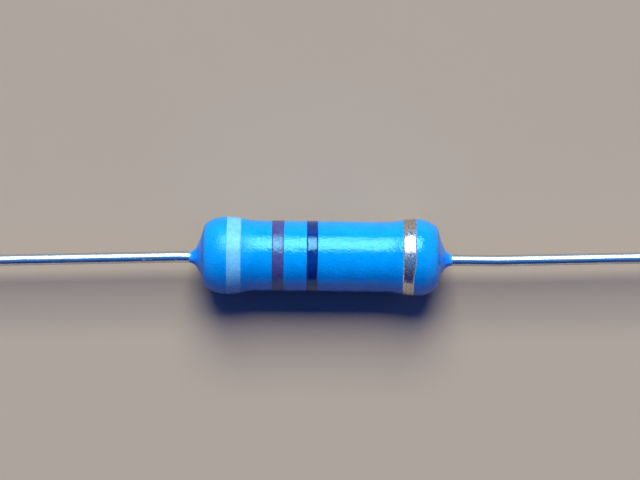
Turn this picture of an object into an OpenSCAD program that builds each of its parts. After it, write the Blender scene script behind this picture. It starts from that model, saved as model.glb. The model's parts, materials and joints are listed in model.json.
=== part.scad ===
// Axial metal-film resistor: a ceramic rod with a spiral-cut metal film, two pressed end caps with
// welded wire leads, a lacquer coating and four painted colour bands.
// The rod's axis is X and the origin is at its middle. Millimetres.

/* [Body] */
// Length of the lacquered body, from one flat end face to the other
body_l = 15.7; // [13:0.1:19]
// Distance from an end face to the widest ring of its shoulder
shoulder_in = 1.45; // [1.2:0.05:1.6]
// Radius of the shoulder's outer side, from the widest ring to the corner
crown_r = 2.0; // [1.65:0.05:2.4]
// Radius of the corner between the shoulder and the end face
corner_r = 0.66; // [0.5:0.02:0.8]
// Radius of the shoulder's inner side, which slopes down to the waist
slope_r = 6.0; // [4:0.5:7.5]
// Distance from the widest ring to where the waist is straight
slope_l = 2.2; // [1.9:0.1:2.7]

/* [Ceramic rod and film] */
// Diameter of the ceramic rod
core_d = 4.2; // [3.5:0.05:5.1]
// Thickness of the resistive film
film_t = 0.05; // [0.04:0.01:0.06]
// Turns of the trimming groove
groove_turns = 4; // [1:1:8]
// Width of the trimming groove, along the rod
groove_w = 0.3; // [0.2:0.05:0.5]
// Uncut film between the groove and the edge of each cap
groove_margin = 0.8; // [0.4:0.1:2]

/* [End caps] */
// Wall of the drawn caps
cap_wall = 0.25; // [0.2:0.01:0.3]
// Depth of a cap, over its closed end
cap_l = 2.1; // [1.7:0.1:2.5]
// Outer corner radius of a cap
cap_corner_r = 0.65; // [0.5:0.05:0.8]
// Lead-in chamfer inside a cap's open edge
cap_lead_in = 0.08; // [0.04:0.01:0.12]

/* [Leads] */
// Diameter of the lead wire
lead_d = 0.75; // [0.6:0.05:0.9]
// Length of a lead, from the end face to its cut tip
lead_l = 28; // [20:1:38]
// How far both leads sit to one side of the body's axis
lead_offset = 0.15; // [0:0.01:0.2]
// Height of the weld's cone on the cap
weld_l = 0.3; // [0.2:0.02:0.4]
// How far the weld's cone spreads past the wire where it meets the cap
weld_spread = 0.275; // [0.15:0.005:0.35]
// Straight wire between the lacquer and the bend of the left lead
bend_gap_left = 0.55; // [0.2:0.05:6]
// Straight wire between the lacquer and the bend of the right lead
bend_gap_right = 2.75; // [0.2:0.05:6]
// Angle of the slight bend in each lead, in degrees
bend_deg = 1.8; // [0.5:0.1:2.3]
// Radius of that bend, at the wire's centre
bend_r = 20; // [10:1:24]
// Chamfer on a lead's cut tip
tip_chamfer = 0.05; // [0.02:0.01:0.1]

/* [Lacquer] */
// Thickness over the film at the waist
waist_coat = 0.2; // [0.15:0.01:0.25]
// Thickness over a cap at the shoulder's widest ring
shoulder_coat = 0.175; // [0.14:0.005:0.25]
// Thickness over a cap's closed end
end_coat = 0.25; // [0.2:0.01:0.3]
// Least thickness over a cap's corner
least_coat = 0.04; // [0.03:0.01:0.05]
// How far the lacquer creeps along a lead from the end face
creep_l = 0.9; // [0.75:0.05:1.3]
// Slope of the cone of lacquer round a lead, from the end face, in degrees
creep_slope = 24; // [15:1:28]
// Flat ring left between that cone and the corner of the end face
creep_margin = 0.05; // [0.02:0.01:0.3]
// Thickness of the lacquer's edge on the lead
feather_t = 0.03; // [0.02:0.01:0.06]

/* [Colour bands] */
// Thickness of the band paint
band_t = 0.03; // [0.02:0.01:0.05]
// Distance from the left end face to the middle of the white band
white_in = 2.07; // [1.8:0.01:2.4]
// Width of the white band
white_w = 0.95; // [0.7:0.05:1.2]
// Distance from the left end face to the middle of the brown band
brown_in = 5.0; // [4:0.05:5.5]
// Width of the brown band
brown_w = 0.8; // [0.6:0.01:1.1]
// Distance from the left end face to the middle of the black band
black_in = 7.28; // [6.8:0.01:8.5]
// Width of the black band
black_w = 0.73; // [0.6:0.01:1.1]
// Distance from the right end face to the middle of the gold band
gold_in = 1.95; // [1.6:0.01:2.3]
// Width of the gold band
gold_w = 0.87; // [0.6:0.01:1.1]

/* [Hidden] */

$fn = 128;
arc_step = 3;         // degrees between the points of a curved outline
groove_slices = 24;   // steps in each turn of the groove
slot_depth = 0.4;     // how far the groove's cutting slot runs past both sides of the film
cut_extra = 1;        // how far other cutting shapes run past what they cut
LEFT = -1;
RIGHT = 1;

// Radii, from the rod outwards
core_r = core_d / 2;
film_r = core_r + film_t;
cap_r = film_r + cap_wall;
waist_r = film_r + waist_coat;
shoulder_r = cap_r + shoulder_coat;
lead_r = lead_d / 2;

// Places along the axis, from the end face inwards
face_x = body_l / 2;
cap_x = face_x - end_coat;
core_x = cap_x - cap_wall;
cap_inner_r = cap_corner_r - cap_wall;
film_x = core_x - cap_inner_r;
cap_edge_x = cap_x - cap_l;
groove_x = cap_edge_x - groove_margin;
shoulder_x = face_x - shoulder_in;
waist_x = shoulder_x - slope_l;

// The shoulder's inner side is an arc that bulges, then one that hollows down to the waist
step = shoulder_r - waist_r;
hollow_r = (slope_l * slope_l + step * step) / (2 * step) - slope_r;
slope_deg = asin(slope_l / (slope_r + hollow_r));
// Its outer side is the crown, then a tighter corner that ends on the flat face
crown_deg = asin((shoulder_in - corner_r) / (crown_r - corner_r));
flat_r = shoulder_r - crown_r + (crown_r - corner_r) * cos(crown_deg);

// The lacquer round a lead is a cone that a fillet draws out along the wire
creep_x = face_x + creep_l;
feather_r = lead_r + feather_t;
creep_base_r = flat_r - lead_offset - creep_margin;
creep_r = (creep_l * cos(creep_slope) - (creep_base_r - feather_r) * sin(creep_slope))
          / (1 - sin(creep_slope));

// ---- Outlines, as points of [radius, place along the axis] ----

// Points of an arc about a centre, up to its last point, where the next stretch begins
function arc(centre, r, from, to) =
    let (steps = ceil(abs(to - from) / arc_step))
    [for (i = [0 : steps - 1])
        let (a = from + (to - from) * i / steps) centre + r * [cos(a), sin(a)]];

// An outline of the right half, joined to its mirror image on the left
function both_halves(points) =
    concat(at_end(points, LEFT), points);

// An outline of the right end, or its mirror image at the left end
function at_end(points, side) =
    side == RIGHT ? points : [for (i = [len(points) - 1 : -1 : 0]) [points[i].x, -points[i].y]];

// The lacquer body from waist to end face, or the surface that lies t above it
function body_outline(t) = concat(
    arc([waist_r + hollow_r, waist_x], hollow_r - t, 180, 180 - slope_deg),
    arc([shoulder_r - slope_r, shoulder_x], slope_r + t, -slope_deg, 0),
    arc([shoulder_r - crown_r, shoulder_x], crown_r + t, 0, crown_deg),
    arc([flat_r, face_x - corner_r], corner_r + t, crown_deg, 90),
    [[flat_r, face_x + t], [0, face_x + t]]);

// The outside of a cap, or the surface that lies t above it
function cap_outline(t) = concat(
    [[0, cap_edge_x - t], [cap_r + t, cap_edge_x - t]],
    arc([cap_r - cap_corner_r, cap_x - cap_corner_r], cap_corner_r + t, 0, 90),
    [[cap_r - cap_corner_r, cap_x + t], [0, cap_x + t]]);

// ---- Shared shapes ----

// Turns an outline about the body's axis
module revolve() {
    rotate([0, 90, 0]) rotate_extrude() children();
}

// Moves what is drawn along +X to a lead's place at the left or right end
module at_lead(side) {
    translate([0, -lead_offset, 0]) rotate([0, 0, side == RIGHT ? 0 : 180]) children();
}

// The lacquer's profile, or the surface that lies t above it
module lacquer_profile(t) {
    polygon(both_halves(body_outline(t)));
    for (side = [LEFT, RIGHT]) polygon(at_end(cap_outline(least_coat + t), side));
}

// What the lacquer covers: the film and both caps
module covered_profile() {
    translate([0, -core_x]) square([film_r, 2 * core_x]);
    for (side = [LEFT, RIGHT]) polygon(at_end(cap_outline(0), side));
}

// The lacquer round one lead, standing on the end face
module creep() {
    revolve() polygon(concat(
        [[0, face_x - end_coat / 2], [creep_base_r, face_x - end_coat / 2], [creep_base_r, face_x]],
        arc([feather_r + creep_r, creep_x], creep_r, 270 - creep_slope, 180),
        [[feather_r, creep_x], [0, creep_x]]));
}

// The weld and the straight wire, from the cap out to the given place
module wire_root(to_x) {
    revolve() polygon([[0, cap_x], [lead_r + weld_spread, cap_x], [lead_r, cap_x + weld_l],
                       [lead_r, to_x], [0, to_x]]);
}

module end_cap(side) {
    color("lightsteelblue") mirror([side == RIGHT ? 0 : 1, 0, 0]) revolve() difference() {
        polygon(cap_outline(0));
        polygon(concat(
            [[0, cap_edge_x - cut_extra], [film_r + cap_lead_in, cap_edge_x - cut_extra],
             [film_r + cap_lead_in, cap_edge_x], [film_r, cap_edge_x + cap_lead_in]],
            arc([film_r - cap_inner_r, core_x - cap_inner_r], cap_inner_r, 0, 90),
            [[film_r - cap_inner_r, core_x], [0, core_x]]));
    }
}

module lead(side, bend_gap) {
    bend_x = creep_x + bend_gap;
    bent_x = bend_r * sin(bend_deg);
    bent_y = bend_r * (1 - cos(bend_deg));
    straight_l = (face_x + lead_l - bend_x - bent_x) / cos(bend_deg);
    color("silver") at_lead(side) {
        wire_root(bend_x);
        translate([bend_x, 0, 0]) {
            translate([0, bend_r, 0])
                rotate_extrude(angle = bend_deg, start = 270) translate([bend_r, 0]) circle(lead_r);
            translate([bent_x, bent_y, 0]) rotate([0, 0, bend_deg])
                revolve() polygon([[0, 0], [lead_r, 0], [lead_r, straight_l - tip_chamfer],
                                   [lead_r - tip_chamfer, straight_l], [0, straight_l]]);
        }
    }
}

module band(middle_x, width) {
    revolve() difference() {
        intersection() {
            lacquer_profile(band_t);
            translate([0, middle_x - width / 2]) square([shoulder_r + cut_extra, width]);
        }
        lacquer_profile(0);
    }
}

// ---- The pieces ----

module ceramic_core() {
    color("antiquewhite") revolve() polygon(both_halves(concat(
        arc([core_r - cap_inner_r, core_x - cap_inner_r], cap_inner_r, 0, 90),
        [[core_r - cap_inner_r, core_x], [0, core_x]])));
}

// The groove is the path of a slot that turns about the rod as it travels along it
module resistive_film() {
    half_deg = 180 * groove_w * groove_turns / (2 * groove_x);
    slot_in = core_r - slot_depth;
    slot_out = film_r / cos(half_deg) + slot_depth;
    color("dimgray") difference() {
        revolve() translate([core_r, -film_x]) square([film_t, 2 * film_x]);
        rotate([0, 90, 0])
            linear_extrude(height = 2 * groove_x, center = true, twist = -360 * groove_turns,
                           slices = groove_slices * groove_turns, $fn = 3)
                polygon([for (corner = [[slot_in, -1], [slot_out, -1], [slot_out, 1], [slot_in, 1]])
                    corner.x * [cos(half_deg), corner.y * sin(half_deg)]]);
    }
}

module end_cap_left() { end_cap(LEFT); }
module end_cap_right() { end_cap(RIGHT); }

module lead_left() { lead(LEFT, bend_gap_left); }
module lead_right() { lead(RIGHT, bend_gap_right); }

module coating() {
    color("deepskyblue") difference() {
        union() {
            revolve() lacquer_profile(0);
            for (side = [LEFT, RIGHT]) at_lead(side) creep();
        }
        revolve() covered_profile();
        for (side = [LEFT, RIGHT]) at_lead(side) wire_root(creep_x + cut_extra);
    }
}

module band_white() { color("lightcyan") band(-face_x + white_in, white_w); }
module band_brown() { color("saddlebrown") band(-face_x + brown_in, brown_w); }
module band_black() { color("black") band(-face_x + black_in, black_w); }
module band_gold() { color("goldenrod") band(face_x - gold_in, gold_w); }

ceramic_core();
resistive_film();
end_cap_left();
end_cap_right();
lead_left();
lead_right();
coating();
band_white();
band_brown();
band_black();
band_gold();
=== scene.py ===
"""The finished surfaces of an axial film resistor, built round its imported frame.

The lacquer, the painted bands and the wire leads are fine meshes on the frame's own sizes. The rod,
the film and the caps inside keep the frame's meshes and get their materials. Lengths are in metres,
and X runs along the rod."""

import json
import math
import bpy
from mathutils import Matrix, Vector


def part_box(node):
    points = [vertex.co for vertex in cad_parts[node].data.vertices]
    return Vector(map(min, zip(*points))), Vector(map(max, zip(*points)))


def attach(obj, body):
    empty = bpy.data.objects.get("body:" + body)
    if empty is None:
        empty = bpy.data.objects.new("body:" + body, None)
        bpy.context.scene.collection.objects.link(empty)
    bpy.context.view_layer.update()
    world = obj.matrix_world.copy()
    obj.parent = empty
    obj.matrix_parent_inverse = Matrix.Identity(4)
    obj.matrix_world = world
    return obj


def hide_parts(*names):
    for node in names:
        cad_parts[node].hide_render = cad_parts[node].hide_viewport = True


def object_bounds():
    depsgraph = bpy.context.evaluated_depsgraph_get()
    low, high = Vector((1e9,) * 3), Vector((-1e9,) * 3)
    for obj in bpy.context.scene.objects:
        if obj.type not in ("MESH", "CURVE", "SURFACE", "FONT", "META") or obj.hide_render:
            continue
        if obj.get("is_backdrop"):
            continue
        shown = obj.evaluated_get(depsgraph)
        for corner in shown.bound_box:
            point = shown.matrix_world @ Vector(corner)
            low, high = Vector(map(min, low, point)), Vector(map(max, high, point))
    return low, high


bl_info = {
    "name": "Axial Film Resistor",
    "version": (1, 0, 0),
    "blender": (4, 5, 0),
    "location": "3D View > Sidebar > Resistor",
    "description": "Lacquers, paints and tins a film resistor and sets it on a plain table",
    "category": "Add Mesh",
}

import bmesh
import bpy
from bpy.props import FloatProperty, FloatVectorProperty, IntProperty, PointerProperty
from mathutils import Matrix, Vector, noise

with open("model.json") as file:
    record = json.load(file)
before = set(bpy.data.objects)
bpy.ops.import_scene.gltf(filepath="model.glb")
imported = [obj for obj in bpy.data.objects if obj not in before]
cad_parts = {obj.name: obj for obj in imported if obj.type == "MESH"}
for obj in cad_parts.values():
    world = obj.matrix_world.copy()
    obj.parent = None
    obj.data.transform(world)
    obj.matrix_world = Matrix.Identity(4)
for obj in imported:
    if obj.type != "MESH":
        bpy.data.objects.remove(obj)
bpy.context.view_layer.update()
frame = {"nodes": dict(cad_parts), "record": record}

MM = 0.001
LEFT, RIGHT = -1, 1
BODY = "root"

# Radii and places that the frame gives
LACQUER_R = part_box("coating")[1].z
CREEP_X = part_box("coating")[1].x
CAP_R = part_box("end_cap_right")[1].z
CAP_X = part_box("end_cap_right")[1].x
CAP_EDGE_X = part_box("end_cap_right")[0].x
FILM_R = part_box("resistive_film")[1].z
WIRE_MOUNTS = {mount["name"]: mount for mount in frame["record"]["mounts"]}
WIRE_R = WIRE_MOUNTS["lead_right_end"]["dims"]["r_mm"] * MM


def length(name, default_mm, description, lowest=0):
    """A length or a place, whose default is given in millimetres."""
    return FloatProperty(name=name, description=description, default=default_mm * MM, min=lowest,
                         precision=5, subtype="DISTANCE", unit="LENGTH")


def angle(name, default_deg, description):
    """An angle property whose default is given in degrees."""
    return FloatProperty(name=name, description=description, default=math.radians(default_deg),
                         subtype="ANGLE", unit="ROTATION")


def colour(name, default, description):
    """A colour property, in linear values."""
    return FloatVectorProperty(name=name, description=description, default=default, size=3,
                               min=0, max=1, subtype="COLOR")


# ---- Properties -------------------------------------------------------------------------------


class LacquerSettings(bpy.types.PropertyGroup):
    """Shape and colour of the lacquered body."""

    end_coat: length("End coat", 0.25, "Lacquer over a cap's closed end")
    waist_coat: length("Waist coat", 0.2, "Lacquer over the film between the caps")
    shoulder_in: length("Shoulder inset", 1.45, "From an end face to the shoulder's widest ring")
    crown_r: length("Crown radius", 2.0, "Outer side of a shoulder")
    corner_r: length("Corner radius", 0.66, "Between a shoulder and its end face")
    slope_r: length("Slope radius", 6.0, "Inner side of a shoulder")
    slope_l: length("Slope length", 2.2, "From the widest ring to the straight waist")
    cap_corner_r: length("Cap corner radius", 0.65, "Outer corner of the caps inside")
    creep_slope: angle("Creep slope", 24, "Slope of the lacquer cone round a wire")
    creep_margin: length("Creep margin", 0.05, "Flat ring between that cone and the corner")
    crease: angle("Crease", 78, "Where on the corner the rounded crease to that cone starts")
    feather: length("Feather edge", 0.03, "Lacquer on a wire at the edge, before the lip thins it")
    lip_l: length("Lip", 0.3, "Length over which the lacquer thins to its edge")
    feather_wander: length("Feather wander", 0.07, "How unevenly that edge ends along a wire")
    wave_height: length("Wave height", 0.014, "Height of the slow waves in the lacquer")
    wave_length: length("Wave length", 2.4, "Length of those waves")
    peel_size: length("Peel size", 0.16, "Size of the orange peel")
    colour: colour("Blue", (0.0, 0.43, 1.0), "Lacquer at full thickness")
    thin_colour: colour("Thin blue", (0.0, 0.29, 1.0), "Lacquer drawn thin over the wires")
    edge_colour: colour("Edge", (0.08, 0.42, 0.85), "Lacquer's edge, with the tin showing through")
    dull_x: length("Dull end", -5.2, "Where it is dullest, towards the left end", lowest=-1)
    gloss_x: length("Gloss start", -3.7, "From here rightwards it has its full gloss", lowest=-1)
    speck_r: length("Speck radius", 0.05, "Largest specks of dust in the lacquer")
    rings: IntProperty(name="Facets round", description="Facets round it", default=192, min=48)


class BandSettings(bpy.types.PropertyGroup):
    """Shape and colours of the painted bands."""

    thickness: length("Thickness", 0.03, "Paint thickness at its raised edges")
    body_share: FloatProperty(name="Body share", description="Thickness between the raised edges, "
                              "as a share", default=0.6, min=0, max=1, subtype="FACTOR")
    edge_slope: length("Edge slope", 0.03, "Width over which the paint rises at its edge")
    ridge_in: length("Ridge inset", 0.085, "From the edge to the raised line beside it")
    ridge_w: length("Ridge width", 0.04, "Width of that raised line")
    sunk: length("Sunk", 0.012, "How far a band's underside lies in the lacquer")
    wander: length("Edge wander", 0.035, "How far the edges wander from true rings")
    ragged: length("Ragged edge", 0.02, "Fine raggedness of the edges")
    gold_step: length("Gold step", 0.16, "How far the gold band's outer edge steps in on one side")
    white: colour("White", (0.27, 0.69, 0.88), "First band")
    brown: colour("Brown", (0.082, 0.056, 0.20), "Second band")
    black: colour("Black", (0.002, 0.016, 0.17), "Third band")
    gold: colour("Gold", (0.78, 0.69, 0.62), "Tolerance band")
    rings: IntProperty(name="Facets round", description="Facets round one", default=384, min=96)


class WireSettings(bpy.types.PropertyGroup):
    """Shape and colour of the leads."""

    bend_r: length("Bend radius", 20, "Radius of the slight bend, at the wire's centre")
    weld_l: length("Weld length", 0.3, "Height of the weld's cone on the cap")
    weld_spread: length("Weld spread", 0.275, "How far that cone spreads past the wire")
    tip_chamfer: length("Tip chamfer", 0.05, "Chamfer on the cut tip")
    tin_skin: length("Tin skin", 0.02, "Tinning that shows as a rim round the cut copper")
    wave_height: length("Wave height", 0.004, "Unevenness of the tinning")
    wave_length: length("Wave length", 1.6, "Length of that unevenness")
    tin: colour("Tin", (0.74, 0.80, 0.82), "Tinned surface")
    copper: colour("Copper", (0.83, 0.42, 0.25), "Wire core at the cut tip")
    rings: IntProperty(name="Facets round", description="Facets round one", default=64, min=24)


class InnerSettings(bpy.types.PropertyGroup):
    """Colours of the pieces under the lacquer."""

    ceramic: colour("Ceramic", (0.82, 0.79, 0.72), "Alumina rod")
    film: colour("Film", (0.30, 0.28, 0.27), "Sputtered metal film")
    cap: colour("Cap", (0.66, 0.66, 0.64), "Tinned steel cap")
    weld_tint: colour("Weld tint", (0.36, 0.27, 0.20), "Heat colour round a weld")


class StudioSettings(bpy.types.PropertyGroup):
    """The plain table, the soft light and the camera."""

    floor: colour("Table", (0.52, 0.385, 0.255), "Pale matt table top")
    bounce: colour("Bounce", (0.13, 0.11, 0.11), "Table top as the resistor's shaded side sees it")
    floor_w: length("Table width", 3000, "Width of the table top")
    key_level: FloatProperty(name="Key level", description="Light on a surface that faces the soft "
                             "box, where 1 shows a colour as it is written", default=1.45, min=0)
    key_tone: colour("Key colour", (0.85, 0.97, 1.0), "Colour of the soft box's light")
    key_angle: angle("Key angle", 42.5, "Soft box's middle from straight above, towards +Y")
    key_tall: angle("Key height", 38, "Soft box's height as the resistor sees it")
    key_wide: angle("Key width", 34, "Soft box's width as the resistor sees it")
    key_far: length("Key distance", 4000, "From the resistor to the soft box")
    near_key: colour("Air by the key", (0.05, 0.28, 0.80), "Soft blue glow round the soft box")
    overhead: colour("Far air", (0.010, 0.012, 0.14), "Dim air away from the soft box")
    fill: colour("Fill", (0.45, 0.30, 0.68), "How much of the air's glow lights things, where "
                 "gloss shows all of it")
    sides: colour("Side air", (0.40, 0.44, 0.50), "Paler air to the left and right, as bright "
                  "metal shows it")
    horizon: colour("Horizon", (0.80, 0.82, 0.85), "Pale air low down, which is the background")
    camera_far: length("Camera distance", 230, "From the camera to the resistor's axis")
    view_w: length("View width", 42.7, "Width of the view at the resistor's axis")
    view_up: length("View offset", 1.09, "How far towards +Y of the axis the view is centred")
    view_left: length("View side offset", 0.067, "How far towards -X of the middle it is centred")
    roll: angle("Camera roll", 0.7, "Turn of the camera about its own axis")


class ResistorSettings(bpy.types.PropertyGroup):
    """Everything that can be set."""

    lacquer: PointerProperty(type=LacquerSettings)
    bands: PointerProperty(type=BandSettings)
    wires: PointerProperty(type=WireSettings)
    inner: PointerProperty(type=InnerSettings)
    studio: PointerProperty(type=StudioSettings)


# ---- Meshes -----------------------------------------------------------------------------------

# Lengths of the facets along the body and the wires, and how many a bend and a crease have
ARC_STEP = 0.07 * MM
LIP_STEP = 0.04 * MM
WAIST_STEP = 0.14 * MM
ROOT_STEP = 0.25 * MM
RUN_STEP = 0.4 * MM
BEND_STEPS = 5
CREASE_STEPS = 5

# Distances in from a band's edge, closest together where the paint rises
EDGE_DEPTHS = [d * MM for d in (0, 0.012, 0.025, 0.045, 0.065, 0.085, 0.105, 0.13, 0.17, 0.25)]

# Edges that turn more than this stay sharp
SHARP_ANGLE = math.radians(50)


def around(count):
    """Angles round the rod's axis, from +Y towards +Z."""
    return [2 * math.pi * k / count for k in range(count)]


def smooth(low, high, value):
    """0 up to low, 1 from high on, and a smooth rise between."""
    t = min(max((value - low) / (high - low), 0), 1)
    return t * t * (3 - 2 * t)


def rings_mesh(name, rings, looped, ends=()):
    """A closed mesh through rings of as many points each. A looped one joins its last ring to its
    first, and another has each end closed on a middle point given in ends."""
    count = len(rings[0])
    points = [point for ring in rings for point in ring]
    faces = []
    for i in range(len(rings) - (0 if looped else 1)):
        this, after = i * count, (i + 1) % len(rings) * count
        for k in range(count):
            turn = (k + 1) % count
            faces.append((this + k, this + turn, after + turn, after + k))
    for first, middle in zip((0, (len(rings) - 1) * count), ends):
        points.append(middle)
        faces += [(first + k, first + (k + 1) % count, len(points) - 1) for k in range(count)]
    mesh = bpy.data.meshes.new(name)
    mesh.from_pydata(points, [], faces)
    whole = bmesh.new()
    whole.from_mesh(mesh)
    bmesh.ops.recalc_face_normals(whole, faces=whole.faces)
    whole.to_mesh(mesh)
    whole.free()
    mesh.shade_smooth()
    mesh.set_sharp_from_angle(angle=SHARP_ANGLE)
    return mesh


def add_piece(name, mesh, node, slot, *materials):
    """Puts a mesh in the scene in place of a frame node."""
    piece = bpy.data.objects.new(name, mesh)
    bpy.context.scene.collection.objects.link(piece)
    for material in materials:
        mesh.materials.append(material)
    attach(piece, BODY)
    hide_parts(node)


def arc(centre_r, centre_x, radius, start, end, step=ARC_STEP):
    """Points (x, r) along an arc, without its last one. At angle 0 it lies furthest out, or
    furthest in where the radius is below zero, which makes a hollow arc."""
    count = max(2, math.ceil(abs((end - start) * radius) / step))
    turns = [start + (end - start) * i / count for i in range(count)]
    return [(centre_x + radius * math.sin(a), centre_r + radius * math.cos(a)) for a in turns]


class Outline:
    """The lacquered body's outline, with the frame's own curves."""

    def __init__(self, sizes):
        self.sizes = sizes
        self.face_x = CAP_X + sizes.end_coat
        self.waist_r = FILM_R + sizes.waist_coat
        self.shoulder_x = self.face_x - sizes.shoulder_in
        self.waist_x = self.shoulder_x - sizes.slope_l
        step = LACQUER_R - self.waist_r
        self.hollow_r = (sizes.slope_l ** 2 + step ** 2) / (2 * step) - sizes.slope_r
        self.slope = math.asin(sizes.slope_l / (sizes.slope_r + self.hollow_r))
        self.crown = math.asin((sizes.shoulder_in - sizes.corner_r)
                               / (sizes.crown_r - sizes.corner_r))
        self.flat_r = (LACQUER_R - sizes.crown_r
                       + (sizes.crown_r - sizes.corner_r) * math.cos(self.crown))

    def radius_at(self, x):
        """The radius between the two crowns."""
        x = abs(x)
        if x < self.waist_x:
            return self.waist_r
        if x < self.waist_x + self.hollow_r * math.sin(self.slope):
            drop = math.sqrt(self.hollow_r ** 2 - (x - self.waist_x) ** 2)
            return self.waist_r + self.hollow_r - drop
        bulge = self.sizes.slope_r if x < self.shoulder_x else self.sizes.crown_r
        return LACQUER_R - bulge + math.sqrt(bulge ** 2 - (x - self.shoulder_x) ** 2)

    def wave(self, x, turn):
        """How far the slow waves lift the surface, fading out before the end faces."""
        past_shoulder, before_face = 0.4 * MM, 0.2 * MM
        finer, finer_share = 2.3, 0.35
        fade = 1 - smooth(self.shoulder_x + past_shoulder, self.face_x - before_face, abs(x))
        around_r = self.waist_r / self.sizes.wave_length
        spot = Vector((x / self.sizes.wave_length,
                       around_r * math.cos(turn), around_r * math.sin(turn)))
        lift = noise.noise(spot) + finer_share * noise.noise(spot * finer)
        return self.sizes.wave_height * fade * lift

    def skin(self):
        """Points (x, r) of the outside, from the middle of the waist to the right end face."""
        sizes, top_x, corner_x = self.sizes, self.shoulder_x, self.face_x - self.sizes.corner_r
        count = math.ceil(self.waist_x / WAIST_STEP)
        points = [(self.waist_x * i / count, self.waist_r) for i in range(count)]
        points += arc(self.waist_r + self.hollow_r, self.waist_x, -self.hollow_r, 0, -self.slope)
        points += arc(LACQUER_R - sizes.slope_r, top_x, sizes.slope_r, -self.slope, 0)
        points += arc(LACQUER_R - sizes.crown_r, top_x, sizes.crown_r, 0, self.crown)
        return points + arc(self.flat_r, corner_x, sizes.corner_r, self.crown, sizes.crease)

    def creep(self):
        """Points (x, r) of the lacquer that rises round a wire, from the corner to its edge: a
        rounded crease, a cone, a hollow arc and a lip that thins out on the wire."""
        sizes = self.sizes
        crease_middle, crease_end, cone_middle = 0.125, 0.44, 0.7
        lip_loss = 0.8
        base_r, edge_r = self.flat_r - sizes.creep_margin, WIRE_R + sizes.feather
        rise, tilt = CREEP_X - self.face_x, sizes.creep_slope
        fillet = ((rise * math.cos(tilt) - (base_r - edge_r) * math.sin(tilt))
                  / (1 - math.sin(tilt)))
        hollow = arc(edge_r + fillet, CREEP_X, -fillet, math.pi / 2 - tilt, 0, LIP_STEP)
        cone, foot = Vector((self.face_x, base_r)), Vector(hollow[0])
        corner = Vector((self.face_x - sizes.corner_r * (1 - math.sin(sizes.crease)),
                         self.flat_r + sizes.corner_r * math.cos(sizes.crease)))
        bend, settled = cone.lerp(foot, crease_middle), cone.lerp(foot, crease_end)
        crease = []
        for i in range(CREASE_STEPS + 1):
            t = i / CREASE_STEPS
            crease.append(tuple(corner.lerp(bend, t).lerp(bend.lerp(settled, t), t)))
        lip = []
        for x, r in hollow + [(CREEP_X, edge_r)]:
            kept = 1 - lip_loss * smooth(CREEP_X - sizes.lip_l, CREEP_X, x)
            lip.append((x, WIRE_R + (r - WIRE_R) * kept))
        return crease + [tuple(cone.lerp(foot, cone_middle))] + lip

    def lining(self):
        """Points (x, r) of the inside, from the cap's corner back towards the rod's middle."""
        corner_r = self.sizes.cap_corner_r
        corner = arc(CAP_R - corner_r, CAP_X - corner_r, corner_r, math.pi / 2, 0)
        return corner + [(CAP_X - corner_r, CAP_R), (CAP_EDGE_X, CAP_R), (CAP_EDGE_X, FILM_R),
                         (CAP_EDGE_X / 2, FILM_R)]


def lacquer_mesh(lacquer, wires):
    """The lacquer shell: its skin, the two creeps on the wires and the lining on what it covers."""
    outline = Outline(lacquer)
    turns = around(lacquer.rings)
    wire_y = WirePath(RIGHT, wires).root_y
    wander_round, wander_apart = 1.7, 5.0

    def ring(side, x, r, shift=0.0, wave=False, wander=0.0):
        points = []
        for turn in turns:
            rim = r + (outline.wave(side * x, turn) if wave else 0)
            spot = Vector((wander_round * math.cos(turn), wander_round * math.sin(turn),
                           wander_apart * side))
            along = x + wander * lacquer.feather_wander * noise.noise(spot)
            points.append((side * along, shift * wire_y + rim * math.cos(turn),
                           rim * math.sin(turn)))
        return points

    def half(side):
        creep = outline.creep()
        foot_r, edge_r = creep[0][1], creep[-1][1]
        rings = [ring(side, x, r, wave=True) for x, r in outline.skin()]
        for x, r in creep:
            near = smooth(0, 1, (foot_r - r) / (foot_r - edge_r))
            rings.append(ring(side, x, r, shift=near, wander=near))
        bore = [(CREEP_X, WIRE_R, 1), (CAP_X + wires.weld_l, WIRE_R, 0),
                (CAP_X, WIRE_R + wires.weld_spread, 0)]
        rings += [ring(side, x, r, shift=1, wander=wander) for x, r, wander in bore]
        return rings + [ring(side, x, r) for x, r in outline.lining()]

    right, left = half(RIGHT), half(LEFT)
    return rings_mesh("lacquer_body", right + left[:0:-1], looped=True)


def band_mesh(name, node, bands, lacquer, step_in):
    """A ring of paint on the lacquer, with raised, slightly ragged edges."""
    outline = Outline(lacquer)
    low, high = (corner.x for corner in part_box(node))
    wander_round, ragged_l = 1.3, 0.16 * MM
    seed, edges_apart = 10 * low / MM, 7.3
    rings = []

    def edge(turn, which):
        across = Vector((math.cos(turn), math.sin(turn), seed + edges_apart * which))
        return (bands.wander * noise.noise(across * wander_round)
                + bands.ragged * noise.noise(across * outline.waist_r / ragged_l))

    def lift(depth):
        rise = 1 - math.exp(-depth / bands.edge_slope)
        ridge = math.exp(-((depth - bands.ridge_in) / bands.ridge_w) ** 2)
        return bands.thickness * rise * (bands.body_share + (1 - bands.body_share) * ridge)

    def spot(x, turn, above):
        step = 0.01 * MM
        rise = outline.radius_at(x + step) - outline.radius_at(x - step)
        tilt = math.atan2(rise, 2 * step)
        r = outline.radius_at(x) + outline.wave(x, turn) + above * math.cos(tilt)
        return (x - above * math.sin(tilt), r * math.cos(turn), r * math.sin(turn))

    for turn in around(bands.rings):
        start = low + edge(turn, 0)
        stop = high + edge(turn, 1) - step_in(turn)
        depths = EDGE_DEPTHS + [(stop - start) / 2]
        places = [(start + d, d) for d in depths] + [(stop - d, d) for d in reversed(EDGE_DEPTHS)]
        over = [spot(x, turn, lift(depth)) for x, depth in places]
        under = [spot(x, turn, -bands.sunk) for x, depth in reversed(places)]
        rings.append(over + under)
    return rings_mesh(name, rings, looped=True)


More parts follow.
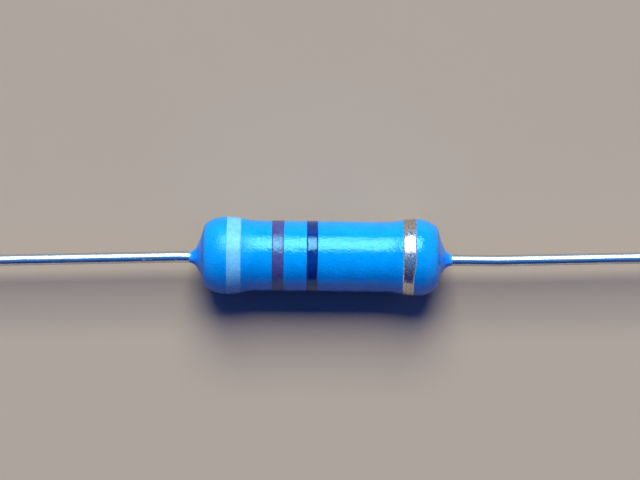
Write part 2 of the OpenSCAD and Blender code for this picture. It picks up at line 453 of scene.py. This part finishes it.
class WirePath:
    """The middle line of a lead: straight from the cap, a slight bend, and straight to the tip."""

    def __init__(self, side, wires):
        mount = WIRE_MOUNTS["lead_right_end" if side == RIGHT else "lead_left_end"]
        self.side, self.wires = side, wires
        self.out = Vector(mount["axis"])
        half = self.out * mount["dims"]["length_mm"] * MM / 2
        middle = Vector(mount["pos_m"])
        self.bent, self.tip = middle - half, middle + half
        self.turn = math.asin(abs(self.out.y))
        self.towards = math.copysign(1, self.out.y)
        self.bend_x = self.bent.x - side * wires.bend_r * math.sin(self.turn)
        self.root_y = self.bent.y - self.towards * wires.bend_r * (1 - math.cos(self.turn))

    def root(self, start_x, end_x):
        """(middle, direction, radius) along the weld and the straight stretch before the bend."""
        wires, ahead = self.wires, Vector((self.side, 0, 0))
        count = math.ceil((end_x - start_x) / ROOT_STEP)
        places = [(CAP_X, WIRE_R + wires.weld_spread)]
        places += [(start_x + (end_x - start_x) * i / count, WIRE_R) for i in range(count)]
        return [(Vector((self.side * x, self.root_y, 0)), ahead, r) for x, r in places]

    def bend(self):
        """The same along the bend, without its last place."""
        radius = self.wires.bend_r
        found = []
        for i in range(BEND_STEPS):
            bent = self.turn * i / BEND_STEPS
            out = Vector((self.side * math.cos(bent), self.towards * math.sin(bent), 0))
            x = self.bend_x + self.side * radius * math.sin(bent)
            y = self.root_y + self.towards * radius * (1 - math.cos(bent))
            found.append((Vector((x, y, 0)), out, WIRE_R))
        return found

    def stations(self):
        """The same from the weld on the cap to the chamfered tip."""
        chamfer, run = self.wires.tip_chamfer, self.tip - self.bent
        count = math.ceil(run.length / RUN_STEP)
        found = self.root(CAP_X + self.wires.weld_l, abs(self.bend_x)) + self.bend()
        found += [(self.bent + run * i / count, self.out, WIRE_R) for i in range(count + 1)]
        return found + [(self.tip + self.out * chamfer, self.out, WIRE_R - chamfer)]


def wire_mesh(name, side, wires):
    """A lead swept along its path, with slightly uneven tinning and copper at the cut tip."""
    wavy_from, wavy_full = 1 * MM, 2 * MM
    wave_round, sides_apart = 0.8, 9
    flatness = 0.001 * MM

    def ring(middle, out, radius, gone):
        across = Vector((-out.y, out.x, 0)) * side
        wavy = smooth(wavy_from, wavy_full, gone) * (1 if radius == WIRE_R else 0)
        points = []
        for turn in around(wires.rings):
            spot = Vector((gone / wires.wave_length, wave_round * math.cos(turn),
                           wave_round * math.sin(turn) + sides_apart * side))
            r = radius + wavy * wires.wave_height * noise.noise(spot)
            up = Vector((0, 0, r * math.sin(turn)))
            points.append(middle + across * (r * math.cos(turn)) + up)
        return points

    stations = WirePath(side, wires).stations()
    rings, gone, last = [], 0.0, stations[0][0]
    for middle, out, radius in stations:
        gone += (middle - last).length
        last = middle
        rings.append(ring(middle, out, radius, gone))
    middle, out, radius = stations[-1]
    core_r = radius - wires.tin_skin
    rings.append(ring(middle, out, core_r, gone))
    mesh = rings_mesh(name, rings, looped=False, ends=(stations[0][0], middle))
    for face in mesh.polygons:
        centre = face.center - middle
        if abs(centre.dot(out)) < flatness and centre.length < core_r:
            face.material_index = 1
    return mesh


# ---- Shader node groups and materials ----------------------------------------------------------
# In this part, places, sizes and reliefs are in millimetres.

# The Mix node's colour sockets, which share their names with its other kinds
MIX_A, MIX_B = 6, 7

# The part of a spot's radius inside which it covers fully
SPOT_CORE = 0.6


def add(tree, kind, inputs=(), **settings):
    """Adds a node, sets its settings, and links or sets its inputs."""
    made = tree.nodes.new(kind)
    for name, value in settings.items():
        setattr(made, name, value)
    for name, value in dict(inputs).items():
        if isinstance(value, bpy.types.NodeSocket):
            tree.links.new(value, made.inputs[name])
        else:
            made.inputs[name].default_value = value
    return made


def maths(tree, operation, first, second=0.0):
    """A Math node's result."""
    return add(tree, "ShaderNodeMath", {0: first, 1: second}, operation=operation).outputs[0]


def mix(tree, factor, first, second, way="MIX"):
    """A mix of two colours, or their product where way is MULTIPLY."""
    inputs = {"Factor": factor}
    for index, value in ((MIX_A, first), (MIX_B, second)):
        inputs[index] = value if isinstance(value, bpy.types.NodeSocket) else (*value, 1)
    return add(tree, "ShaderNodeMix", inputs, data_type="RGBA", blend_type=way).outputs[2]


def shaded(tone, share):
    """A colour times a share."""
    return [part * share for part in tone]


def tinted(tone, tint):
    """A colour times a tint."""
    return [part * share for part, share in zip(tone, tint)]


def stretch(tree, value, low, high, to_low=0.0, to_high=1.0):
    """A smooth change of range."""
    return add(tree, "ShaderNodeMapRange", {"Value": value, "From Min": low, "From Max": high,
                                            "To Min": to_low, "To Max": to_high},
               interpolation_type="SMOOTHSTEP").outputs["Result"]


def noise_at(tree, place, waves, detail):
    """A noise from 0 to 1, with so many waves to a millimetre."""
    inputs = {"Vector": place, "Scale": waves, "Detail": detail}
    return add(tree, "ShaderNodeTexNoise", inputs).outputs["Fac"]


def drawn(tree, place, scale):
    """The place squeezed along one axis, so that marks run along it."""
    return add(tree, "ShaderNodeMapping", {"Vector": place, "Scale": scale}).outputs[0]


def axes(tree, place):
    """A place's X, Y and Z."""
    return add(tree, "ShaderNodeSeparateXYZ", {0: place}).outputs


def new_group(name, outputs, **inputs):
    """An empty shader node group that takes a place and numbers, and puts out numbers."""
    tree = bpy.data.node_groups.new(name, "ShaderNodeTree")
    tree.interface.new_socket("Place", in_out="INPUT", socket_type="NodeSocketVector")
    for label, default in inputs.items():
        made = tree.interface.new_socket(label, in_out="INPUT", socket_type="NodeSocketFloat")
        made.default_value = default
    for label in outputs:
        tree.interface.new_socket(label, in_out="OUTPUT", socket_type="NodeSocketFloat")
    given = tree.nodes.new("NodeGroupInput").outputs
    return tree, given, tree.nodes.new("NodeGroupOutput").inputs


def orange_peel_group():
    """Small rounded waves with a finer grain on them, as sprayed and dipped finishes have."""
    finer = 2.7
    tree, given, out = new_group("Orange Peel", ("Height", "Grain"), Size=0.15, Grain=0.3)
    waves = maths(tree, "DIVIDE", 1.0, given["Size"])
    peel = noise_at(tree, given["Place"], waves, detail=1.5)
    fine = noise_at(tree, given["Place"], maths(tree, "MULTIPLY", waves, finer), detail=2.0)
    grained = maths(tree, "MULTIPLY", fine, given["Grain"])
    tree.links.new(maths(tree, "ADD", peel, grained), out["Height"])
    tree.links.new(fine, out["Grain"])
    return tree


def cloud_group():
    """Soft cloudy patches, from 0 to 1, for paint that covers unevenly."""
    middle = 0.5
    tree, given, out = new_group("Cloudy Cover", ("Mask",), Size=0.5, Softness=0.25)
    waves = maths(tree, "DIVIDE", 1.0, given["Size"])
    inputs = {"Vector": given["Place"], "Scale": waves, "Detail": 4.0, "Roughness": 0.55,
              "Distortion": 0.4}
    cloud = add(tree, "ShaderNodeTexNoise", inputs).outputs["Fac"]
    low = maths(tree, "SUBTRACT", middle, given["Softness"])
    high = maths(tree, "ADD", middle, given["Softness"])
    tree.links.new(stretch(tree, cloud, low, high), out["Mask"])
    return tree


def fleck_group():
    """Small separate spots, 1 inside and 0 between, in a given share of their cells."""
    tree, given, out = new_group("Flecks", ("Mask", "Shade"), Size=0.1, Share=0.3, Spot=0.35)
    per_mm = maths(tree, "DIVIDE", 1.0, given["Size"])
    cells = add(tree, "ShaderNodeTexVoronoi", {"Vector": given["Place"], "Scale": per_mm})
    shade = add(tree, "ShaderNodeSeparateColor", {"Color": cells.outputs["Color"]}).outputs[0]
    chosen = maths(tree, "LESS_THAN", shade, given["Share"])
    inner = maths(tree, "MULTIPLY", given["Spot"], SPOT_CORE)
    spot = stretch(tree, cells.outputs["Distance"], inner, given["Spot"], 1.0, 0.0)
    tree.links.new(maths(tree, "MULTIPLY", spot, chosen), out["Mask"])
    tree.links.new(shade, out["Shade"])
    return tree


EFFECTS = {"Orange Peel": orange_peel_group, "Cloudy Cover": cloud_group, "Flecks": fleck_group}


def effect(tree, name, place, **inputs):
    """A shared node group placed in a material, built the first time it is asked for."""
    made = tree.nodes.new("ShaderNodeGroup")
    made.node_tree = bpy.data.node_groups.get(name) or EFFECTS[name]()
    tree.links.new(place, made.inputs["Place"])
    for label, value in inputs.items():
        made.inputs[label].default_value = value
    return made.outputs


def new_material(name, **constants):
    """A material with the constants set on its shader, its tree and a place in millimetres."""
    material = bpy.data.materials.new(name)
    material.use_nodes = True
    tree = material.node_tree
    for label, value in constants.items():
        tree.nodes["Principled BSDF"].inputs[label.replace("_", " ")].default_value = value
    own = tree.nodes.new("ShaderNodeTexCoord").outputs["Object"]
    scale = {0: own, "Scale": 1 / MM}
    return material, tree, add(tree, "ShaderNodeVectorMath", scale, operation="SCALE").outputs[0]


def finish(tree, relief, height, **channels):
    """Feeds the shader its channels, and a bump of the height times the relief."""
    shader = tree.nodes["Principled BSDF"]
    for label, value in channels.items():
        tree.links.new(value, shader.inputs[label.replace("_", " ")])
    bump = add(tree, "ShaderNodeBump", {"Height": height, "Distance": relief * MM})
    tree.links.new(bump.outputs["Normal"], shader.inputs["Normal"])


def uneven(tree, grain, smoothest, roughest):
    """A roughness that follows a grain, over the range that holds nearly all of the grain."""
    low, high = 0.3, 0.7
    return stretch(tree, grain, low, high, smoothest, roughest)


# Dust in the lacquer: place along X and across Y, and size against the largest
DUST = ((1.87, 0.37, 1.0), (5.4, 1.95, 0.8), (7.4, 1.3, 0.6), (2.33, -0.54, 0.6), (3.87, 0.91, 0.6),
        (0.05, 1.72, 0.7), (3.1, -1.2, 0.5), (-3.6, 0.6, 0.5))


def dust(tree, place, outline, speck_r):
    """Spots where dust sits in the lacquer's upper side."""
    mask = 0.0
    for x, y, size in DUST:
        r = outline.radius_at(min(abs(x) * MM, outline.shoulder_x)) / MM
        spot = {0: place, 1: (x, y, math.sqrt(max(r * r - y * y, 0)))}
        apart = add(tree, "ShaderNodeVectorMath", spot, operation="DISTANCE").outputs["Value"]
        radius = speck_r / MM * size
        speck = stretch(tree, apart, SPOT_CORE * radius, radius, 1.0, 0.0)
        mask = maths(tree, "MAXIMUM", mask, speck)
    return mask


def lacquer_tone(tree, place, along, lacquer, outline):
    """Blue with clouds and a grain, thinner over the wires, and painted shade in the crease before
    them.
    """
    cloud_shade, grain_shade, crease_shade_tone = 0.82, 0.6, (0.0, 0.07, 0.45)
    grain_from, grain_full, grain_cover = 0.42, 0.68, 0.5
    thins_before, crease_w, crease_soft, crease_shade_cover, edge_cover = 0.3, 0.02, 0.10, 0.55, 0.6
    full, face_x = lacquer.colour, outline.face_x / MM
    lip_x, edge_x = (CREEP_X - lacquer.lip_l) / MM, CREEP_X / MM
    reach = maths(tree, "ABSOLUTE", along)
    from_face = maths(tree, "ABSOLUTE", maths(tree, "SUBTRACT", reach, face_x))
    clouds = effect(tree, "Cloudy Cover", place, Size=1.1, Softness=0.35)["Mask"]
    pigment = noise_at(tree, place, waves=11.0, detail=2.0)
    grain = stretch(tree, pigment, grain_from, grain_full, to_high=grain_cover)
    thin = stretch(tree, reach, face_x - thins_before, lip_x)
    # Painted shade: the crease where an end face meets its lacquer cone is darkened in the colour.
    crease = stretch(tree, from_face, crease_w, crease_soft, to_low=crease_shade_cover, to_high=0.0)
    edge = stretch(tree, reach, lip_x, edge_x, to_high=edge_cover)
    tone = mix(tree, clouds, full, shaded(full, cloud_shade))
    tone = mix(tree, grain, tone, shaded(full, grain_shade))
    tone = mix(tree, thin, tone, lacquer.thin_colour)
    tone = mix(tree, crease, tone, crease_shade_tone)
    return mix(tree, edge, tone, lacquer.edge_colour)


def lacquer_material(lacquer):
    """Glossy blue lacquer: orange peel, slow ripples, dust, and a duller left end."""
    grain, ripples, dull_end, relief = 0.35, 0.9, 0.24, 0.022
    dust_tone = (0.004, 0.03, 0.14)
    material, tree, place = new_material("blue_lacquer", IOR=1.5, Specular_IOR_Level=0.6,
                                         Specular_Tint=(0.36, 1.0, 1.0, 1.0))
    outline = Outline(lacquer)
    along = axes(tree, place)["X"]
    peel = effect(tree, "Orange Peel", place, Size=lacquer.peel_size / MM, Grain=grain)
    dusty = dust(tree, place, outline, lacquer.speck_r)
    tone = lacquer_tone(tree, place, along, lacquer, outline)
    gloss = uneven(tree, peel["Grain"], smoothest=0.08, roughest=0.18)
    duller = stretch(tree, along, lacquer.dull_x / MM, lacquer.gloss_x / MM, dull_end, 0.0)
    ripple = maths(tree, "MULTIPLY", noise_at(tree, place, waves=1.3, detail=1.0), ripples)
    height = maths(tree, "ADD", maths(tree, "ADD", peel["Height"], dusty), ripple)
    finish(tree, relief, height, Base_Color=mix(tree, dusty, tone, dust_tone),
           Roughness=maths(tree, "ADD", gloss, duller))
    return material


def cloudy_paint(name, shade, under, *, cover, peel_size, grain, relief, smoothest, gloss):
    """Band paint that lets some of the lacquer through: cover is its share where it is thinnest."""
    speck_shade, speck_cover, speck_height, roughness_range = 0.72, 0.5, 0.4, 0.09
    material, tree, place = new_material(name, IOR=1.5, Specular_IOR_Level=gloss,
                                         Specular_Tint=(0.35, 0.88, 1.0, 1.0))
    peel = effect(tree, "Orange Peel", place, Size=peel_size, Grain=grain)
    clouds = effect(tree, "Cloudy Cover", place, Size=0.42, Softness=0.2)["Mask"]
    specks = effect(tree, "Flecks", place, Size=0.11, Share=0.25, Spot=0.4)["Mask"]
    thin = [part * (1 - cover) + other * cover for part, other in zip(shade, under)]
    tone = mix(tree, clouds, shade, thin)
    dark = maths(tree, "MULTIPLY", specks, speck_cover)
    raised = maths(tree, "MULTIPLY", specks, speck_height)
    finish(tree, relief, maths(tree, "ADD", peel["Height"], raised),
           Base_Color=mix(tree, dark, tone, shaded(shade, speck_shade)),
           Roughness=uneven(tree, peel["Grain"], smoothest, smoothest + roughness_range))
    return material


def gold_material(bands):
    """Metallic paint: flat flakes at slightly different tilts in a clear binder."""
    gap_tone, dull_flake, flake_height, relief = (0.10, 0.10, 0.14), 0.55, 0.25, 0.004
    material, tree, place = new_material("gold_paint", Coat_Weight=0.2, Coat_Roughness=0.1)
    flakes = effect(tree, "Flecks", place, Size=0.07, Share=1.0, Spot=0.9)["Shade"]
    gaps = effect(tree, "Flecks", place, Size=0.09, Share=0.3, Spot=0.45)["Mask"]
    peel = effect(tree, "Orange Peel", place, Size=0.16, Grain=0.4)["Height"]
    tone = mix(tree, flakes, shaded(bands.gold, dull_flake), bands.gold)
    height = maths(tree, "ADD", peel, maths(tree, "MULTIPLY", flakes, flake_height))
    finish(tree, relief, height, Base_Color=mix(tree, gaps, tone, gap_tone),
           Metallic=stretch(tree, gaps, 0.0, 1.0, to_low=0.92, to_high=0.35),
           Roughness=stretch(tree, flakes, 0.0, 1.0, to_low=0.16, to_high=0.30))
    return material


def nicked(tree, place, wires):
    """The row of fine nicks that a former left along the left wire, beside the body."""
    from_x, full_x, last_x, to_x = -12.9, -12.3, -9.0, -8.8
    off_middle, half_w, soft_w = 0.6, 0.03, 0.06
    axis = axes(tree, place)
    middle = WirePath(LEFT, wires).root_y / MM - off_middle * WIRE_R / MM
    start = stretch(tree, axis["X"], from_x, full_x)
    stop = stretch(tree, axis["X"], last_x, to_x, to_low=1.0, to_high=0.0)
    aside = maths(tree, "ABSOLUTE", maths(tree, "SUBTRACT", axis["Y"], middle))
    row = stretch(tree, aside, half_w, soft_w, to_low=1.0, to_high=0.0)
    upper = maths(tree, "GREATER_THAN", axis["Z"], 0.0)
    along = maths(tree, "MULTIPLY", start, stop)
    return maths(tree, "MULTIPLY", along, maths(tree, "MULTIPLY", row, upper))


def tin_material(wires):
    """Bright tinning: faint lines drawn along the wire, small pits with painted shade in them, and
    soft dull patches.
    """
    pit_shade_tone, pit_depth, dull_shade = (0.2, 0.21, 0.24), 0.6, 0.72
    nick_roughness, relief = 0.7, 0.003
    material, tree, place = new_material("tinned_wire", Metallic=1.0)
    along = drawn(tree, place, (0.12, 1, 1))
    lines = noise_at(tree, along, waves=14.0, detail=3.0)
    patches = effect(tree, "Cloudy Cover", along, Size=0.3, Softness=0.3)["Mask"]
    pits = effect(tree, "Flecks", along, Size=0.09, Share=0.12, Spot=0.3)["Mask"]
    marks = effect(tree, "Flecks", along, Size=0.045, Share=0.7, Spot=0.5)["Mask"]
    nicks = maths(tree, "MULTIPLY", nicked(tree, place, wires), marks)
    tone = mix(tree, patches, wires.tin, shaded(wires.tin, dull_shade))
    # Painted shade: the same depth that sinks the pits also darkens them in the colour.
    sunk = maths(tree, "MULTIPLY", pits, pit_depth)
    polish = stretch(tree, patches, 0.0, 1.0, to_low=0.20, to_high=0.34)
    rough = add(tree, "ShaderNodeMix", {"Factor": nicks, "A": polish, "B": nick_roughness})
    finish(tree, relief, maths(tree, "SUBTRACT", lines, sunk), Roughness=rough.outputs["Result"],
           Base_Color=mix(tree, sunk, tone, pit_shade_tone))
    return material


def copper_material(wires):
    """The sheared face of the copper core, with the shear's fine lines."""
    dull_shade, relief = 0.6, 0.004
    material, tree, place = new_material("cut_copper", Metallic=1.0)
    lines = noise_at(tree, drawn(tree, place, (1, 1, 0.1)), waves=30.0, detail=2.0)
    dull = shaded(wires.copper, dull_shade)
    finish(tree, relief, lines, Base_Color=mix(tree, lines, wires.copper, dull),
           Roughness=uneven(tree, lines, smoothest=0.25, roughest=0.5))
    return material


def ceramic_material(inner):
    """Fired alumina: chalky, with a fine grain and faint clouding."""
    grain_tone, grain_cover, relief = (0.45, 0.42, 0.38), 0.4, 0.004
    material, tree, place = new_material("ceramic", IOR=1.6)
    clouds = effect(tree, "Cloudy Cover", place, Size=1.4, Softness=0.35)["Mask"]
    grain = effect(tree, "Flecks", place, Size=0.08, Share=0.2, Spot=0.4)["Mask"]
    warm = tinted(inner.ceramic, (0.92, 0.90, 0.86))
    tone = mix(tree, clouds, inner.ceramic, warm)
    cover = maths(tree, "MULTIPLY", grain, grain_cover)
    finish(tree, relief, grain, Base_Color=mix(tree, cover, tone, grain_tone),
           Roughness=stretch(tree, clouds, 0.0, 1.0, to_low=0.62, to_high=0.78))
    return material


def film_material(inner):
    """A thin metal film: dark, faintly bronze, with a soft sheen that follows the rod's grain."""
    relief = 0.002
    material, tree, place = new_material("metal_film", Metallic=1.0)
    clouds = effect(tree, "Cloudy Cover", place, Size=0.9, Softness=0.3)["Mask"]
    grain = effect(tree, "Orange Peel", place, Size=0.07, Grain=0.5)
    bronze = tinted(inner.film, (1.2, 0.95, 0.72))
    finish(tree, relief, grain["Height"],
           Base_Color=mix(tree, clouds, inner.film, bronze),
           Roughness=uneven(tree, grain["Grain"], smoothest=0.38, roughest=0.6))
    return material


def cap_material(inner):
    """Drawn and tinned steel, with lines along the draw and a heat tint round the weld."""
    cloud_shade, hot_r, cool_r, tint_cover, relief = 0.8, 0.7, 1.4, 0.7, 0.004
    material, tree, place = new_material("cap_steel", Metallic=1.0)
    lines = noise_at(tree, drawn(tree, place, (0.1, 1, 1)), waves=9.0, detail=3.0)
    clouds = effect(tree, "Cloudy Cover", place, Size=0.8, Softness=0.3)["Mask"]
    flat = add(tree, "ShaderNodeVectorMath", {0: place, 1: (0, 1, 1)}, operation="MULTIPLY")
    out = add(tree, "ShaderNodeVectorMath", {0: flat.outputs[0]}, operation="LENGTH")
    heat = stretch(tree, out.outputs["Value"], hot_r, cool_r, to_low=1.0, to_high=0.0)
    tone = mix(tree, clouds, inner.cap, shaded(inner.cap, cloud_shade))
    cover = maths(tree, "MULTIPLY", heat, tint_cover)
    finish(tree, relief, lines, Base_Color=mix(tree, cover, tone, inner.weld_tint),
           Roughness=uneven(tree, lines, smoothest=0.28, roughest=0.45))
    return material


def seen(tree):
    """1 for what is seen, straight on or in gloss and glass, and 0 for the light it gives off."""
    ray = tree.nodes.new("ShaderNodeLightPath").outputs
    glossy = maths(tree, "MAXIMUM", ray["Is Camera Ray"], ray["Is Glossy Ray"])
    return maths(tree, "MAXIMUM", glossy, ray["Is Transmission Ray"])


def table_material(studio):
    """A pale matt table top with hardly any grain."""
    cloud_shade = 0.985
    material, tree, place = new_material("pale_table", Roughness=0.9, Specular_IOR_Level=0.1)
    clouds = effect(tree, "Cloudy Cover", place, Size=9.0, Softness=0.4)["Mask"]
    pale = mix(tree, clouds, studio.floor, shaded(studio.floor, cloud_shade))
    tone = mix(tree, seen(tree), studio.bounce, pale)
    tree.links.new(tone, tree.nodes["Principled BSDF"].inputs["Base Color"])
    return material


# ---- Operators --------------------------------------------------------------------------------


class RESISTOR_OT_inner(bpy.types.Operator):
    """Finish the ceramic rod, the metal film and the end caps under the lacquer"""

    bl_idname = "resistor.inner"
    bl_label = "Rod, Film and Caps"
    bl_options = {"REGISTER", "UNDO"}

    def execute(self, context):
        inner = context.scene.resistor.inner
        caps = cap_material(inner)
        finishes = {"ceramic_core": ceramic_material(inner), "resistive_film": film_material(inner),
                    "end_cap_left": caps, "end_cap_right": caps}
        for node, material in finishes.items():
            mesh = frame["nodes"][node].data
            mesh.materials.clear()
            mesh.materials.append(material)
        return {"FINISHED"}


class RESISTOR_OT_wires(bpy.types.Operator):
    """Draw the two tinned wire leads along their slight bends"""

    bl_idname = "resistor.wires"
    bl_label = "Wire Leads"
    bl_options = {"REGISTER", "UNDO"}

    def execute(self, context):
        wires = context.scene.resistor.wires
        tin, copper = tin_material(wires), copper_material(wires)
        for name, side in (("left", LEFT), ("right", RIGHT)):
            mesh = wire_mesh(f"{name}_lead", side, wires)
            add_piece(f"{name}_lead", mesh, f"lead_{name}", "tinned_wire", tin, copper)
        return {"FINISHED"}


class RESISTOR_OT_lacquer(bpy.types.Operator):
    """Coat the body in blue lacquer that creeps out along the wires"""

    bl_idname = "resistor.lacquer"
    bl_label = "Lacquer"
    bl_options = {"REGISTER", "UNDO"}

    def execute(self, context):
        settings = context.scene.resistor
        mesh = lacquer_mesh(settings.lacquer, settings.wires)
        blue = lacquer_material(settings.lacquer)
        add_piece("lacquer_body", mesh, "coating", "blue_lacquer", blue)
        return {"FINISHED"}


class RESISTOR_OT_bands(bpy.types.Operator):
    """Paint the four colour bands on the lacquer"""

    bl_idname = "resistor.bands"
    bl_label = "Colour Bands"
    bl_options = {"REGISTER", "UNDO"}

    def execute(self, context):
        settings = context.scene.resistor
        bands, lacquer = settings.bands, settings.lacquer

        def gold_step(turn):
            """How far the gold band steps in on the -Y side, by the degrees down from the top."""
            start, full, ending, end = 8, 34, 120, 170
            down = math.degrees(math.atan2(-math.cos(turn), math.sin(turn)))
            return bands.gold_step * smooth(start, full, down) * (1 - smooth(ending, end, down))

        def even(turn):
            return 0.0

        paints = {
            "white": cloudy_paint("white_paint", bands.white, lacquer.colour, cover=0.32, grain=0.4,
                                  peel_size=0.13, relief=0.018, smoothest=0.24, gloss=0.35),
            "brown": cloudy_paint("brown_paint", bands.brown, lacquer.colour, cover=0.10, grain=0.5,
                                  peel_size=0.13, relief=0.024, smoothest=0.12, gloss=0.9),
            "black": cloudy_paint("black_paint", bands.black, lacquer.colour, cover=0.05, grain=0.3,
                                  peel_size=0.16, relief=0.015, smoothest=0.05, gloss=0.8),
            "gold": gold_material(bands),
        }
        for name, paint in paints.items():
            node, step_in = f"band_{name}", gold_step if name == "gold" else even
            mesh = band_mesh(f"{name}_band", node, bands, lacquer, step_in)
            add_piece(f"{name}_band", mesh, node, f"{name}_paint", paint)
        return {"FINISHED"}


class RESISTOR_OT_studio(bpy.types.Operator):
    """Set the resistor on a pale table under one soft box, with the camera straight above"""

    bl_idname = "resistor.studio"
    bl_label = "Table, Light and Camera"
    bl_options = {"REGISTER", "UNDO"}

    def execute(self, context):
        studio = context.scene.resistor.studio
        self.table(context, studio)
        self.soft_box(context, studio)
        self.air(context, studio)
        self.camera(context, studio)
        context.scene.view_settings.view_transform = "Standard"
        return {"FINISHED"}

    def table(self, context, studio):
        """The table top, just under the resistor."""
        half, z = studio.floor_w / 2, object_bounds()[0].z
        mesh = bpy.data.meshes.new("floor")
        corners = [(-half, -half, z), (half, -half, z), (half, half, z), (-half, half, z)]
        mesh.from_pydata(corners, [], [(0, 1, 2, 3)])
        mesh.materials.append(table_material(studio))
        floor = bpy.data.objects.new("floor", mesh)
        context.scene.collection.objects.link(floor)
        floor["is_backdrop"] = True

    def turned(self, studio):
        """The turn that takes straight up to the soft box's middle."""
        return Matrix.Rotation(-studio.key_angle, 4, "X")

    def soft_box(self, context, studio):
        """One lamp. At a key level of 1, matt white that faces it shows as white."""
        light = bpy.data.lights.new("soft_box", "AREA")
        light.shape = "RECTANGLE"
        light.size = 2 * studio.key_far * math.tan(studio.key_wide / 2)
        light.size_y = 2 * studio.key_far * math.tan(studio.key_tall / 2)
        light.energy = studio.key_level * math.pi ** 2 * studio.key_far ** 2
        light.color = studio.key_tone
        lamp = bpy.data.objects.new("soft_box", light)
        lamp.matrix_world = self.turned(studio) @ Matrix.Translation((0, 0, studio.key_far))
        context.scene.collection.objects.link(lamp)

    def air(self, context, studio):
        """A blue glow round the soft box, pale low down, and paler to the sides in what is seen.
        The fill sets how much of it lights things."""
        dim, bright = -0.25, 0.85
        sides_from, sides_full = 0.3, 0.65
        horizon_full, horizon_to = 0.045, 0.12
        world = bpy.data.worlds.new("studio_air")
        world.use_nodes = True
        tree = world.node_tree
        way = tree.nodes.new("ShaderNodeTexCoord").outputs["Generated"]
        to_key = self.turned(studio) @ Vector((0, 0, 1))
        facing = add(tree, "ShaderNodeVectorMath", {0: way, 1: to_key}, operation="DOT_PRODUCT")
        glow = stretch(tree, facing.outputs["Value"], dim, bright)
        axis, in_view = axes(tree, way), seen(tree)
        aside = stretch(tree, maths(tree, "ABSOLUTE", axis["X"]), sides_from, sides_full)
        low = stretch(tree, axis["Z"], horizon_full, horizon_to, 1.0, 0.0)
        air = mix(tree, glow, studio.overhead, studio.near_key)
        air = mix(tree, maths(tree, "MULTIPLY", aside, in_view), air, studio.sides)
        air = mix(tree, low, air, studio.horizon)
        light = mix(tree, 1.0, air, studio.fill, "MULTIPLY")
        shown = mix(tree, in_view, light, air)
        tree.links.new(shown, tree.nodes["Background"].inputs["Color"])
        context.scene.world = world

    def camera(self, context, studio):
        """A long lens straight above, set a little off the middle and turned."""
        data = bpy.data.cameras.new("camera")
        data.lens = data.sensor_width * studio.camera_far / studio.view_w
        data.clip_start, data.clip_end = 0.01, 100
        camera = bpy.data.objects.new("camera", data)
        camera.location = (-studio.view_left, studio.view_up, studio.camera_far)
        camera.rotation_euler = (0, 0, studio.roll)
        context.scene.collection.objects.link(camera)
        context.scene.camera = camera


class RESISTOR_PT_sidebar(bpy.types.Panel):
    """The resistor's pieces and their settings"""

    bl_label = "Axial Film Resistor"
    bl_idname = "RESISTOR_PT_sidebar"
    bl_space_type = "VIEW_3D"
    bl_region_type = "UI"
    bl_category = "Resistor"

    def draw(self, context):
        for step in STEPS:
            box = self.layout.box()
            box.operator(f"resistor.{step}")
            settings = getattr(context.scene.resistor, step)
            for name in settings.bl_rna.properties.keys():
                if name not in ("rna_type", "name"):
                    box.prop(settings, name)


# The operators in the order in which they run, each named as its settings are
STEPS = ("inner", "wires", "lacquer", "bands", "studio")
CLASSES = (LacquerSettings, BandSettings, WireSettings, InnerSettings, StudioSettings,
           ResistorSettings, RESISTOR_OT_inner, RESISTOR_OT_wires, RESISTOR_OT_lacquer,
           RESISTOR_OT_bands, RESISTOR_OT_studio, RESISTOR_PT_sidebar)


def register():
    for cls in CLASSES:
        bpy.utils.register_class(cls)
    bpy.types.Scene.resistor = PointerProperty(type=ResistorSettings)


def unregister():
    del bpy.types.Scene.resistor
    for cls in reversed(CLASSES):
        bpy.utils.unregister_class(cls)


def main():
    """Makes the whole resistor."""
    register()
    for step in STEPS:
        getattr(bpy.ops.resistor, step)()


if __name__ == "__main__":
    main()
